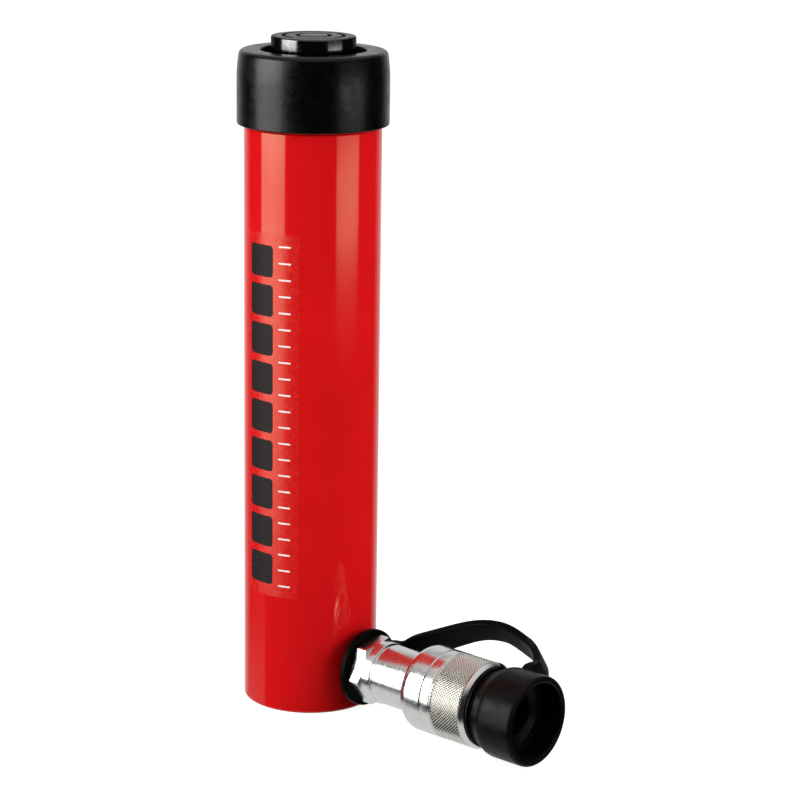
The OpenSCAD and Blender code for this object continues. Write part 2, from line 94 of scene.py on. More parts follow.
def make_camera():
    """Camera, given by its place round the plunger's axis. Its distances are in metres."""
    distance, height = 1.0542, 0.4033
    pan_right, tilt_down, roll = (math.radians(a) for a in (2.03, 14.50, 0.82))
    out = Vector((math.sin(CAMERA_AZIMUTH), -math.cos(CAMERA_AZIMUTH), 0))
    heading = math.atan2(-out.y, -out.x) - pan_right
    forward = Vector((math.cos(heading) * math.cos(tilt_down),
                      math.sin(heading) * math.cos(tilt_down), -math.sin(tilt_down)))
    level = Vector((math.sin(heading), -math.cos(heading), 0))
    right = level * math.cos(roll) + level.cross(forward) * math.sin(roll)
    up = right.cross(forward)
    data = bpy.data.cameras.new("camera")
    data.sensor_width = 36.0
    data.lens = 115.8
    data.clip_start = 0.01
    data.clip_end = 50
    camera = bpy.data.objects.new("camera", data)
    bpy.context.scene.collection.objects.link(camera)
    turned = Matrix((right, up, -forward)).transposed().to_4x4()
    camera.matrix_world = Matrix.Translation(out * distance + Vector((0, 0, height))) @ turned
    bpy.context.scene.camera = camera


def aim(obj, place, target):
    obj.location = place
    obj.rotation_euler = (Vector(target) - Vector(place)).to_track_quat("-Z", "Y").to_euler()


SOFTBOX_DISTANCE = 1.1


def softbox(name, turn, width, levels):
    """Upright softbox, turned round the object from the camera's side, in degrees. levels are
    (height, radiance) pairs from its lower edge to its upper one. It glows less towards its sides."""
    angle = CAMERA_AZIMUTH + math.radians(turn)
    away = Vector((math.sin(angle), -math.cos(angle), 0))
    side = Vector((-away.y, away.x, 0)) * width / 2
    low, high = levels[0][0], levels[-1][0]
    feet = away * SOFTBOX_DISTANCE
    corners = [feet + side + Vector((0, 0, low)), feet - side + Vector((0, 0, low)),
               feet - side + Vector((0, 0, high)), feet + side + Vector((0, 0, high))]
    mesh = bpy.data.meshes.new(name)
    mesh.from_pydata(corners, [], [(0, 1, 2, 3)])
    panel_uv = mesh.uv_layers.new(name="panel")
    for corner, place in zip(panel_uv.data, ((0, 0), (1, 0), (1, 1), (0, 1))):
        corner.uv = place
    panel = bpy.data.objects.new(name, mesh)
    bpy.context.scene.collection.objects.link(panel)
    panel.visible_camera = False
    glow = bpy.data.materials.new(name)
    glow.use_nodes = True
    tree = glow.node_tree
    tree.nodes.clear()
    out = tree.nodes.new("ShaderNodeOutputMaterial")
    lamp = tree.nodes.new("ShaderNodeEmission")
    place = tree.nodes.new("ShaderNodeTexCoord")
    split = tree.nodes.new("ShaderNodeSeparateXYZ")
    tree.links.new(place.outputs["UV"], split.inputs[0])
    sides = ramp(tree, split.outputs["X"], [(0, 0), (0.07, 0.8), (0.5, 1), (0.93, 0.8), (1, 0)])
    brightest = max(radiance for _, radiance in levels)
    rise = ramp(tree, split.outputs["Y"],
                [((height - low) / (high - low), radiance / brightest) for height, radiance in levels])
    product = multiply(tree, multiply(tree, sides, rise), brightest)
    tree.links.new(product, lamp.inputs["Strength"])
    tree.links.new(lamp.outputs[0], out.inputs["Surface"])
    mesh.materials.append(glow)


def area_light(name, turn, distance, height, size, power, in_reflections=True):
    """Square lamp, turned round the object from the camera's side, in degrees, and aimed at it."""
    data = bpy.data.lights.new(name, "AREA")
    data.shape = "SQUARE"
    data.size = size
    data.energy = power
    lamp = bpy.data.objects.new(name, data)
    bpy.context.scene.collection.objects.link(lamp)
    lamp.visible_camera = False
    lamp.visible_glossy = in_reflections
    angle = CAMERA_AZIMUTH + math.radians(turn)
    aim(lamp, (distance * math.sin(angle), -distance * math.cos(angle), height), (0, 0, 0.1))


def make_floor():
    size = 6.0
    mesh = bpy.data.meshes.new("floor")
    mesh.from_pydata([(-size, -size, 0), (size, -size, 0), (size, size, 0), (-size, size, 0)],
                     [], [(0, 1, 2, 3)])
    floor = bpy.data.objects.new("floor", mesh)
    bpy.context.scene.collection.objects.link(floor)
    floor.visible_glossy = False
    paper = bpy.data.materials.new("floor_paper")
    paper.use_nodes = True
    tree = paper.node_tree
    shader = tree.nodes["Principled BSDF"]
    shader.inputs["Base Color"].default_value = (0.4, 0.4, 0.4, 1)
    shader.inputs["Roughness"].default_value = 0.95
    shader.inputs["Specular IOR Level"].default_value = 0
    shader.inputs["Emission Color"].default_value = (1, 1, 1, 1)
    rays = tree.nodes.new("ShaderNodeLightPath")
    glow = multiply(tree, rays.outputs["Is Camera Ray"], 0.86)
    tree.links.new(glow, shader.inputs["Emission Strength"])
    mesh.materials.append(paper)


def make_stage():
    make_floor()
    softbox("softbox_left", -70, 1.02, [(-0.33, 0), (-0.2, 3.6), (0, 4.6), (0.12, 3.6), (0.3, 8),
                                        (0.8, 8)])
    softbox("softbox_right", 60, 0.89, [(-0.1, 0), (-0.06, 0.12), (0, 0.4), (0.04, 1.25), (0.08, 2.75),
                                        (0.15, 3.1), (0.25, 0.3), (0.8, 0.3)])
    area_light("fill", 62, 1.0, 0.3, 0.8, 8.5, in_reflections=False)
    area_light("overhead", 160, 0.7, 1.4, 1.2, 6, in_reflections=False)
    make_world()
    bpy.context.scene.view_settings.view_transform = "Standard"


def make_world():
    """Studio that is white to the camera. Reflections see it dim, but for a pale back, ceiling and floor,
    and a pale card low on the coupler's far side. Ramps along Z run from straight down to straight up."""
    world = bpy.data.worlds.new("studio")
    bpy.context.scene.world = world
    world.use_nodes = True
    tree = world.node_tree
    tree.nodes.clear()
    out = tree.nodes.new("ShaderNodeOutputWorld")
    seen = tree.nodes.new("ShaderNodeBackground")
    lit = tree.nodes.new("ShaderNodeBackground")
    mix = tree.nodes.new("ShaderNodeMixShader")
    rays = tree.nodes.new("ShaderNodeLightPath")
    seen.inputs["Color"].default_value = (1, 1, 1, 1)
    place = tree.nodes.new("ShaderNodeTexCoord")
    away = tree.nodes.new("ShaderNodeVectorMath")
    away.operation = "DOT_PRODUCT"
    away.inputs[1].default_value = (-math.sin(CAMERA_AZIMUTH), math.cos(CAMERA_AZIMUTH), 0)
    tree.links.new(place.outputs["Generated"], away.inputs[0])
    back = ramp(tree, away.outputs["Value"], [(0.80, 0.0), (0.95, 1.0)], (-1, 1))
    split = tree.nodes.new("ShaderNodeSeparateXYZ")
    tree.links.new(place.outputs["Generated"], split.inputs[0])
    above = ramp(tree, split.outputs["Z"], [(0.72, 0.0), (0.90, 1.0)], (-1, 1))
    below = ramp(tree, split.outputs["Z"], [(0.215, 1.0), (0.235, 0.0)], (-1, 1))
    card = multiply(tree, ramp(tree, split.outputs["X"], [(0.175, 1.0), (0.19, 0.0)], (-1, 1)),
                    ramp(tree, split.outputs["Z"], [(0.26, 1.0), (0.32, 0.0)], (-1, 1)))
    strongest = maximum(tree, maximum(tree, back, above), maximum(tree, below, card))
    level = tree.nodes.new("ShaderNodeMapRange")
    level.inputs["To Min"].default_value = 0.02
    level.inputs["To Max"].default_value = 0.9
    tree.links.new(strongest, level.inputs["Value"])
    tree.links.new(level.outputs["Result"], lit.inputs["Strength"])
    tree.links.new(rays.outputs["Is Camera Ray"], mix.inputs[0])
    tree.links.new(lit.outputs[0], mix.inputs[1])
    tree.links.new(seen.outputs[0], mix.inputs[2])
    tree.links.new(mix.outputs[0], out.inputs["Surface"])


def ramp(tree, value, stops, span=(0, 1)):
    """Value through a grey ramp. stops are (place, level), with place from 0 to 1 over the span."""
    scale = tree.nodes.new("ShaderNodeMapRange")
    scale.inputs["From Min"].default_value, scale.inputs["From Max"].default_value = span
    tree.links.new(value, scale.inputs["Value"])
    node = tree.nodes.new("ShaderNodeValToRGB")
    marks = node.color_ramp.elements
    while len(marks) < len(stops):
        marks.new(0.5)
    for mark, (place, level) in zip(marks, stops):
        mark.position = place
        mark.color = (level, level, level, 1)
    tree.links.new(scale.outputs["Result"], node.inputs["Fac"])
    return node.outputs["Color"]


def combined(tree, operation, values):
    """Result of a two-input calculation on node outputs or plain numbers."""
    node = tree.nodes.new("ShaderNodeMath")
    node.operation = operation
    for socket, value in zip(node.inputs, values):
        if isinstance(value, (int, float)):
            socket.default_value = value
        else:
            tree.links.new(value, socket)
    return node.outputs["Value"]


def maximum(tree, a, b):
    return combined(tree, "MAXIMUM", (a, b))


def multiply(tree, a, b):
    return combined(tree, "MULTIPLY", (a, b))


# ---------------------------------------------------------------- materials


class Finish:
    """A material under construction, whose textures are in the piece's own space, in metres."""

    def __init__(self, name, colour, metallic=0.0, roughness=0.5, **sockets):
        self.material = bpy.data.materials.new(name)
        self.material.use_nodes = True
        self.tree = self.material.node_tree
        self.shader = self.tree.nodes["Principled BSDF"]
        self.shader.inputs["Base Color"].default_value = (*colour, 1)
        self.shader.inputs["Metallic"].default_value = metallic
        self.shader.inputs["Roughness"].default_value = roughness
        for socket, value in sockets.items():
            self.shader.inputs[socket.replace("_", " ")].default_value = value
        self.place = self.tree.nodes.new("ShaderNodeTexCoord").outputs["Object"]
        self.normal = None

    def stretched(self, scale):
        node = self.tree.nodes.new("ShaderNodeMapping")
        node.inputs["Scale"].default_value = scale
        self.tree.links.new(self.place, node.inputs["Vector"])
        return node.outputs["Vector"]

    def noise(self, size, detail=3.0, rough=0.55, scale=(1, 1, 1)):
        """Noise whose grains are about size metres across."""
        node = self.tree.nodes.new("ShaderNodeTexNoise")
        node.inputs["Scale"].default_value = 1 / size
        node.inputs["Detail"].default_value = detail
        node.inputs["Roughness"].default_value = rough
        self.tree.links.new(self.stretched(scale), node.inputs["Vector"])
        return node.outputs["Fac"]

    def spread(self, value, low, high, span=(0.3, 0.7)):
        node = self.tree.nodes.new("ShaderNodeMapRange")
        node.inputs["From Min"].default_value, node.inputs["From Max"].default_value = span
        node.inputs["To Min"].default_value, node.inputs["To Max"].default_value = low, high
        self.tree.links.new(value, node.inputs["Value"])
        return node.outputs["Result"]

    def rough(self, value, low, high):
        self.tree.links.new(self.spread(value, low, high), self.shader.inputs["Roughness"])
        return self

    def tint(self, value, first, second, span=(0.3, 0.7)):
        node = self.tree.nodes.new("ShaderNodeMix")
        node.data_type = "RGBA"
        self.tree.links.new(self.spread(value, 0, 1, span), node.inputs["Factor"])
        node.inputs["A"].default_value = (*first, 1)
        node.inputs["B"].default_value = (*second, 1)
        self.tree.links.new(node.outputs["Result"], self.shader.inputs["Base Color"])
        return self

    def bump(self, value, depth, strength=1.0):
        node = self.tree.nodes.new("ShaderNodeBump")
        node.inputs["Distance"].default_value = depth
        node.inputs["Strength"].default_value = strength
        self.tree.links.new(value, node.inputs["Height"])
        if self.normal is not None:
            self.tree.links.new(self.normal, node.inputs["Normal"])
        self.normal = node.outputs["Normal"]
        self.tree.links.new(self.normal, self.shader.inputs["Normal"])
        return self


def red_enamel():
    f = Finish("red_enamel", (0.66, 0.006, 0.008), roughness=0.08, Specular_Tint=(1, 0.92, 0.6, 1))
    f.tint(f.noise(0.03), (0.63, 0.0055, 0.0075), (0.69, 0.0065, 0.0085))
    f.rough(f.noise(0.012), 0.065, 0.095)
    f.bump(f.noise(0.0016, detail=1.0), 0.00001, 0.3)
    return f.material


def collar_black():
    f = Finish("collar_black", (0.001, 0.001, 0.001), roughness=0.28, Specular_IOR_Level=0.3)
    f.tint(f.noise(0.004), (0.0005, 0.0005, 0.0005), (0.001, 0.001, 0.0009))
    f.rough(f.noise(0.005, detail=5.0, rough=0.7), 0.2, 0.36)
    f.bump(f.noise(0.0009, detail=3.0), 0.00004, 0.6)
    f.bump(f.noise(0.007, detail=2.0), 0.00012, 0.5)
    return f.material


def black_oxide():
    f = Finish("black_oxide", (0.11, 0.11, 0.11), metallic=1.0, roughness=0.12,
               Specular_Tint=(0.35, 0.35, 0.35, 1))
    f.tint(f.noise(0.0015, detail=4.0), (0.08, 0.08, 0.08), (0.14, 0.14, 0.135))
    f.rough(f.noise(0.0015), 0.09, 0.16)
    f.bump(f.noise(0.0006, detail=2.0), 0.00001, 0.3)
    return f.material


def bright_plating():
    f = Finish("bright_plating", (0.74, 0.74, 0.73), metallic=1.0, roughness=0.2)
    f.tint(f.noise(0.0025, detail=4.0), (0.74, 0.74, 0.73), (0.8, 0.8, 0.79))
    f.rough(f.noise(0.002, detail=4.0), 0.16, 0.25)
    f.bump(f.noise(0.0005, detail=2.0), 0.00001, 0.4)
    return f.material


def knurl_plating():
    f = Finish("knurl_plating", (0.66, 0.65, 0.60), metallic=1.0, roughness=0.27)
    f.tint(f.noise(0.003), (0.64, 0.63, 0.58), (0.68, 0.67, 0.62))
    f.rough(f.noise(0.003), 0.2, 0.23)
    return f.material


def hard_chrome():
    f = Finish("hard_chrome", (0.8, 0.81, 0.82), metallic=1.0, roughness=0.1)
    f.tint(f.noise(0.01), (0.77, 0.78, 0.79), (0.82, 0.83, 0.84))
    f.rough(f.noise(0.0008, scale=(1, 1, 6)), 0.07, 0.13)
    f.bump(f.noise(0.0003, scale=(0.2, 0.2, 4)), 0.000004, 0.4)
    return f.material


def machined_steel(name, colour, roughness):
    f = Finish(name, colour, metallic=1.0, roughness=roughness)
    darker = tuple(c * 0.8 for c in colour)
    f.tint(f.noise(0.002), darker, colour)
    f.rough(f.noise(0.001), roughness * 0.8, roughness * 1.25)
    f.bump(f.noise(0.0004), 0.000008, 0.5)
    return f.material


def rubber(name, colour, roughness, specular=0.1):
    f = Finish(name, colour, roughness=roughness, Specular_IOR_Level=specular)
    lighter = tuple(c * 3 for c in colour)
    f.tint(f.noise(0.003, detail=5.0, rough=0.7), colour, lighter, span=(0.45, 0.7))
    f.rough(f.noise(0.004, detail=4.0), roughness * 0.8, roughness * 1.25)
    f.bump(f.noise(0.0007, detail=3.0), 0.00003, 0.5)
    return f.material


def soft_polymer(name, colour, roughness):
    f = Finish(name, colour, roughness=roughness)
    f.tint(f.noise(0.003), tuple(c * 0.88 for c in colour), colour)
    f.rough(f.noise(0.002), roughness * 0.9, roughness * 1.1)
    return f.material


def decal_film():
    f = Finish("decal_film", (0.66, 0.006, 0.008), roughness=0.2, Specular_Tint=(1, 0.92, 0.6, 1))
    f.tint(f.noise(0.0022, detail=4.0, rough=0.7), (0.64, 0.0055, 0.0075), (0.68, 0.012, 0.011),
           span=(0.45, 0.7))
    f.rough(f.noise(0.0025, detail=4.0), 0.18, 0.32)
    f.bump(f.noise(0.0007, detail=3.0, rough=0.6), 0.00005, 1.0)
    return f.material


def decal_ink(name, colour):
    f = Finish(name, colour, roughness=0.5, Specular_IOR_Level=0.12)
    f.tint(f.noise(0.001), colour, tuple(min(1, c * 1.15 + 0.004) for c in colour))
    f.rough(f.noise(0.001), 0.45, 0.55)
    return f.material


MATERIALS = {
    "red_paint": red_enamel(),
    "black_collar": collar_black(),
    "black_oxide_steel": black_oxide(),
    "bright_plating": bright_plating(),
    "knurled_plating": knurl_plating(),
    "hard_chrome": hard_chrome(),
    "plain_steel": machined_steel("plain_steel", (0.5, 0.5, 0.51), 0.3),
    "spring_wire": machined_steel("spring_wire", (0.32, 0.32, 0.34), 0.35),
    "bearing_bronze": machined_steel("bearing_bronze", (0.60, 0.40, 0.18), 0.3),
    "black_rubber": rubber("black_rubber", (0.0016, 0.0013, 0.001), 0.35),
    "strap_rubber": rubber("strap_rubber", (0.0012, 0.001, 0.0008), 0.42, specular=0.04),
    "black_seal": rubber("black_seal", (0.013, 0.013, 0.014), 0.4),
    "white_ptfe": soft_polymer("white_ptfe", (0.85, 0.85, 0.82), 0.5),
    "amber_polyurethane": soft_polymer("amber_polyurethane", (0.5, 0.24, 0.06), 0.35),
    "decal_film": decal_film(),
}
WHITE_INK = decal_ink("white_ink", (0.82, 0.80, 0.79))
BLACK_INK = decal_ink("black_ink", (0.013, 0.009, 0.009))


# ---------------------------------------------------------------- shape helpers


def outline(*corners, parts=4):
    """Points of an outline. A corner is (r, along) in millimetres, and a third number rounds it."""
    points = []
    for i, corner in enumerate(corners):
        here = np.array(corner[:2], float)
        cut = corner[2] if len(corner) > 2 else 0
        if not cut:
            points.append(here)
            continue
        before = np.array(corners[i - 1][:2], float) - here
        after = np.array(corners[(i + 1) % len(corners)][:2], float) - here
        first = here + before / np.linalg.norm(before) * cut
        last = here + after / np.linalg.norm(after) * cut
        for k in range(parts + 1):
            t = k / parts
            points.append((1 - t) ** 2 * first + 2 * t * (1 - t) * here + t * t * last)
    return points


def upright(r, angle, along):
    """Point at a radius, an angle and a height about the plunger's axis, in millimetres."""
    return (r * math.cos(angle) * MM, r * math.sin(angle) * MM, along * MM)


def on_port(r, angle, along):
    """Point at a radius, an angle and a distance along the port's axis, in millimetres.
    Angle 0 is up, and 90 degrees is +Y."""
    return (along * MM, r * math.sin(angle) * MM, PORT_Z + r * math.cos(angle) * MM)


def finish_mesh(name, verts, faces, slot, sharp=32):
    mesh = bpy.data.meshes.new(name)
    mesh.from_pydata([tuple(v) for v in verts], [], faces)
    b = bmesh.new()
    b.from_mesh(mesh)
    bmesh.ops.remove_doubles(b, verts=b.verts, dist=1e-7)
    bmesh.ops.recalc_face_normals(b, faces=b.faces)
    b.to_mesh(mesh)
    b.free()
    mesh.polygons.foreach_set("use_smooth", [True] * len(mesh.polygons))
    mesh.set_sharp_from_angle(angle=math.radians(sharp))
    obj = bpy.data.objects.new(name, mesh)
    bpy.context.scene.collection.objects.link(obj)
    mesh.materials.append(MATERIALS[slot])
    return obj


def turned(name, points, slot, steps=160, to_place=upright, shape=None, sharp=32):
    """Solid of revolution from a closed outline. shape(r, angle, along) may change a point's radius."""
    verts, rings, radii = [], [], []
    for r, along in points:
        if r < 1e-6:
            rings.append([len(verts)])
            verts.append(to_place(0, 0, along))
            radii.append(0)
            continue
        ring = []
        for j in range(steps):
            angle = TURN * j / steps
            here = shape(r, angle, along) if shape else r
            ring.append(len(verts))
            verts.append(to_place(here, angle, along))
            radii.append(here)
        rings.append(ring)
    faces = []
    for a, b in zip(rings, rings[1:] + rings[:1]):
        if len(a) == 1 and len(b) == 1:
            continue
        for j in range(steps):
            k = (j + 1) % steps
            if len(a) == 1:
                faces.append((a[0], b[j], b[k]))
            elif len(b) == 1:
                faces.append((a[j], b[0], a[k]))
            else:
                faces += creased((a[j], b[j], b[k], a[k]), radii)
    return finish_mesh(name, verts, faces, slot, sharp)


def creased(quad, radii):
    """The quad, or two triangles that meet in a groove when two opposite corners are the lower ones."""
    a, b, c, d = quad
    if min(radii[a], radii[c]) > max(radii[b], radii[d]) + 0.02:
        return [(a, b, d), (b, c, d)]
    if min(radii[b], radii[d]) > max(radii[a], radii[c]) + 0.02:
        return [(a, b, c), (a, c, d)]
    return [quad]


def combine(body, other, operation):
    """Changes the body's mesh by a solid, which is then removed."""
    step = body.modifiers.new("combine", "BOOLEAN")
    step.operation = operation
    step.solver = "EXACT"
    step.object = other
    result = bpy.data.meshes.new_from_object(body.evaluated_get(bpy.context.evaluated_depsgraph_get()))
    body.modifiers.clear()
    body.data = result
    bpy.data.objects.remove(other)


def swept(name, rings, slot, sharp=40):
    """Tube through rings of points that all have the same number of points."""
    count = len(rings[0])
    verts = [p for ring in rings for p in ring]
    faces = []
    for i in range(len(rings) - 1):
        a, b = i * count, (i + 1) * count
        for j in range(count):
            k = (j + 1) % count
            faces.append((a + j, a + k, b + k, b + j))
    faces.append(tuple(range(count)))
    faces.append(tuple(range((len(rings) - 1) * count, len(rings) * count)))
    return finish_mesh(name, verts, faces, slot, sharp)


def coil(name, r, wire, start, end, turns, slot, to_place, per_turn=28, sides=10):
    """Coil spring with closed ends, in millimetres along its axis."""
    n = int(turns * per_turn)
    dead = 1.0
    rings = []
    for i in range(n + 1):
        turn = i / per_turn
        open_part = min(max((turn - dead) / (turns - 2 * dead), 0), 1)
        slack = end - start - 2 * dead * wire * 2.05
        along = (start + min(turn, dead) * wire * 2.05 + open_part * slack
                 + max(turn - turns + dead, 0) * wire * 2.05)
        ring = []
        for j in range(sides):
            a = TURN * j / sides
            ring.append(to_place(r + wire * math.cos(a), TURN * turn, along + wire * math.sin(a)))
        rings.append(ring)
    return swept(name, rings, slot)


def mm(length):
    """A length from the frame, in millimetres."""
    return length / MM


# ---------------------------------------------------------------- the cylinder's own pieces


def thread_shape(crest, depth, low, high, pitch):
    """Radius of a single-start thread between two heights, with its ends run out."""
    def shape(r, angle, along):
        if not low <= along <= high or abs(r - crest) > 0.01:
            return r
        phase = ((along - low) / pitch - angle / TURN) % 1
        groove = min(1, max(0, 1.4 - abs(phase - 0.5) * 4))
        fade = min(1, (along - low) / pitch, (high - along) / pitch)
        return r - depth * groove * fade
    return shape


def painted_body():
    r, top = mm(BODY_R), mm(BODY_TOP)
    thread_low, thread_high, pitch = top - 26, top - 0.8, 1.814
    gland_r, gland_floor, bore_r, floor = 23.75, mm(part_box("stop_ring")[0].z), 21.45, 31
    rows = int((thread_high - thread_low) / pitch * 8)
    threads = [(r, thread_low + (thread_high - thread_low) * i / rows) for i in range(rows + 1)]
    points = (outline((0, 0), (r, 0, 1.0), (r, thread_low - 1.6, 0.3), (r - 1.1, thread_low - 1.2, 0.2),
                      (r - 1.1, thread_low - 0.4))
              + [np.array(p) for p in threads]
              + outline((r - 0.8, top, 0.3), (gland_r, top), (gland_r, gland_floor),
                        (bore_r, gland_floor - 1), (bore_r, floor, 1.0), (0, floor)))
    body = turned("painted_cylinder", points, "red_paint", steps=192,
                  shape=thread_shape(r, 0.95, thread_low, thread_high, pitch), sharp=30)
    drill_base(body)
    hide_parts("cylinder_body")
    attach(body, "barrel")


def drill_base(body):
    """Cuts the two threaded mounting holes that the record's bolt pattern gives."""
    holes = next(m for m in frame["record"]["mounts"] if m["name"] == "base_mounting_holes")
    r = holes["dims"]["hole_r_mm"]
    depth, pitch = 12.7, 1.41
    for side in (-1, 1):
        centre = side * holes["dims"]["spacing_y_mm"] / 2

        def around(radius, angle, along):
            x, y, z = upright(radius, angle, along)
            return (x, y + centre * MM, z)
        rows = [(r, i * 0.2) for i in range(2, int(depth / 0.2))]
        cutter = turned("cutter", [(0, -1), (r + 0.5, -1), (r + 0.5, 0), (r, 0.5)] + rows
                        + [(r, depth), (0, depth + 1.5)], "red_paint", steps=40, to_place=around,
                        shape=thread_shape(r, 0.35, 0.6, depth - 0.4, pitch))
        combine(body, cutter, "DIFFERENCE")


def collar():
    r = mm(COLLAR_R)
    low, high = mm(collar_lo.z), mm(collar_hi.z)
    opening = 21.8
    inner, lip = mm(BODY_R) + 0.35, mm(BODY_TOP) + 0.7
    points = outline((inner, low + 0.6, 0.3), (inner + 0.6, low, 0.2), (r, low, 0.6), (r, high - 9, 3.0),
                     (r - 0.95, high, 2.4), (opening, high, 0.8), (opening, lip, 0.3),
                     (inner + 0.8, lip, 0.4), parts=6)
    piece = turned("threaded_collar", points, "black_collar", steps=192, sharp=40)
    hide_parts("thread_protector")
    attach(piece, "protector")


def saddle():
    r, top, seat = mm(SADDLE_R), mm(SADDLE_TOP), mm(ROD_TOP)
    stem_r, stem_low = 11.3, mm(saddle_lo.z)
    groove_z = seat - 9
    corners = [(0, stem_low), (stem_r, stem_low, 0.8), (stem_r, groove_z), (10.3, groove_z),
               (10.3, groove_z + 1.6), (stem_r, groove_z + 1.6), (stem_r, seat), (r, seat, 0.7),
               (r, top, 0.8)]
    for inner in (11.6, 5.9):
        corners += [(inner + 1.6, top, 0.25), (inner + 1.3, top - 1.2, 0.3), (inner + 0.3, top - 1.2, 0.3),
                    (inner, top, 0.25)]
    corners.append((0, top))
    piece = turned("lift_out_saddle", outline(*corners), "black_oxide_steel", steps=160, sharp=50)
    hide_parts("saddle")
    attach(piece, "saddle")


def springs():
    low, high = mm(spring_lo.z), mm(spring_hi.z)
    wire = 1.6
    main = coil("return_coil", 9.2, wire, low + wire, high - wire, 44, "spring_wire", upright)
    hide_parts("return_spring")
    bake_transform(main)
    low, high = mm(valve_spring_lo.x), mm(valve_spring_hi.x)
    wire = 0.6
    small = coil("valve_coil", 4.6, wire, low + wire, high - wire, 7, "spring_wire", on_port)
    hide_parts("valve_spring")
    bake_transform(small)


def film_patch(area, lift, thickness, round_r):
    """Mesh of a thin film on the body's side, with round corners. area is (angle, angle, low, high)."""
    angle_from, angle_to, low, high = area
    r = mm(BODY_R) + lift
    width = math.radians(angle_to - angle_from) * r
    height = high - low
    steps = 8
    loop = []
    for cx, cy, first in ((width - round_r, round_r, -90), (width - round_r, height - round_r, 0),
                          (round_r, height - round_r, 90), (round_r, round_r, 180)):
        for k in range(steps + 1):
            a = math.radians(first + 90 * k / steps)
            loop.append((cx + round_r * math.cos(a), cy + round_r * math.sin(a)))
    b = bmesh.new()
    flat = [b.verts.new((x, y, 0)) for x, y in loop]
    b.faces.new(flat)
    slices = int(width / 0.6) + 1
    for i in range(1, slices):
        bmesh.ops.bisect_plane(b, geom=b.verts[:] + b.edges[:] + b.faces[:],
                               plane_co=(width * i / slices, 0, 0), plane_no=(1, 0, 0))
    top = bmesh.ops.extrude_face_region(b, geom=b.faces[:])
    for v in (g for g in top["geom"] if isinstance(g, bmesh.types.BMVert)):
        v.co.z = thickness
    for v in b.verts:
        angle = math.radians(angle_from) + v.co.x / r
        v.co = Vector(upright(r + v.co.z, angle, low + v.co.y))
    bmesh.ops.recalc_face_normals(b, faces=b.faces)
    mesh = bpy.data.meshes.new("patch")
    b.to_mesh(mesh)
    b.free()
    return mesh


def film_print(name, areas, lift, thickness, round_r, material):
    """One piece of film or ink made of one or more patches."""
    b = bmesh.new()
    for area in areas:
        patch = film_patch(area, lift, thickness, round_r)
        b.from_mesh(patch)
        bpy.data.meshes.remove(patch)
    mesh = bpy.data.meshes.new(name)
    b.to_mesh(mesh)
    b.free()
    mesh.polygons.foreach_set("use_smooth", [True] * len(mesh.polygons))
    mesh.set_sharp_from_angle(angle=math.radians(30))
    mesh.materials.append(material)
    obj = bpy.data.objects.new(name, mesh)
    bpy.context.scene.collection.objects.link(obj)
    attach(obj, "barrel")
    return obj


def decal():
    """Clear film with a plain row of blocks and a plain row of strokes in place of any name."""
    low, high = mm(decal_lo.z), mm(decal_hi.z)
    middle = -87.0
    half = math.degrees(15 / mm(BODY_R))
    film = film_print("decal_film", [(middle - half, middle + half, low, high)], 0.01, 0.09, 1.0,
                      MATERIALS["decal_film"])
    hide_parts("body_decal")
    first, last, blocks, strokes, gap = low + 5, high - 5, 9, 22, 3.2
    ink_lift, ink_thick = 0.06, 0.07
    pitch = (last - first + gap) / blocks
    film_print("decal_blocks",
               [(middle - 20.5, middle + 6, first + pitch * i, first + pitch * (i + 1) - gap)
                for i in range(blocks)], ink_lift, ink_thick, 1.6, BLACK_INK)
    pitch = (last - first) / (strokes - 1)
    film_print("decal_strokes",
               [(middle + 11.5, middle + 22.5, first + pitch * i - 0.35, first + pitch * i + 0.35)
                for i in range(strokes)], ink_lift, ink_thick, 0.3, WHITE_INK)


# ---------------------------------------------------------------- coupler


def hex_body():
    """Plated coupler body: hexagon, collar, groove and neck, with its nose end inside the sleeve."""
    x0 = mm(hex_lo.x)
    hex_start, hex_end, flats, clock = 35.4, 41.5, 25.4, math.radians(22)
    corner_r = flats / 2 / math.cos(TURN / 12)
    neck, collar_r, collar_end = 12.7, 13.1, 45.7
    hexagon = turned("hexagon", [(0, hex_start), (collar_r, hex_start), (corner_r, hex_start + 0.7),
                                 (corner_r, hex_end - 0.8), (collar_r, hex_end), (0, hex_end)],
                     "bright_plating", to_place=on_port)
    corners = []
    for k in range(6):
        for lean in (-2, -0.7, 0.7, 2):
            turn = math.radians(lean)
            corner = (corner_r - 0.06 * abs(lean)) / math.cos(turn) - 0.02
            corners.append((corner, clock + TURN * k / 6 + turn))
    bar = swept("hexagon_bar", [[on_port(r, angle, along) for r, angle in corners]
                                for along in (hex_start - 1, hex_end + 1)], "bright_plating")
    combine(hexagon, bar, "INTERSECT")
    points = (outline((7.2, x0, 0.4), (8.3, x0 + 1.6), (8.3, hex_end - 0.2), (collar_r, hex_end - 0.2),
                      (collar_r, collar_end, 0.3), (12.1, collar_end + 0.4, 0.2),
                      (12.1, collar_end + 1, 0.2), (neck, collar_end + 1.3, 0.25), (neck, 73.9),
                      (11.4, 73.9), (11.4, 76), (neck, 76), (neck, 86, 0.5), (8.6, 86), (8.6, 50),
                      (3.6, 50), (3.6, x0)))
    piece = turned("plated_coupler_body", points, "bright_plating", to_place=on_port)
    combine(piece, hexagon, "UNION")
    piece.data.set_sharp_from_angle(angle=math.radians(20))
    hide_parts("coupler_body")
    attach(piece, "barrel")


# Diamonds round the sleeve, and their depth in millimetres
KNURLS_ROUND = 80
KNURL_DEPTH = 0.34


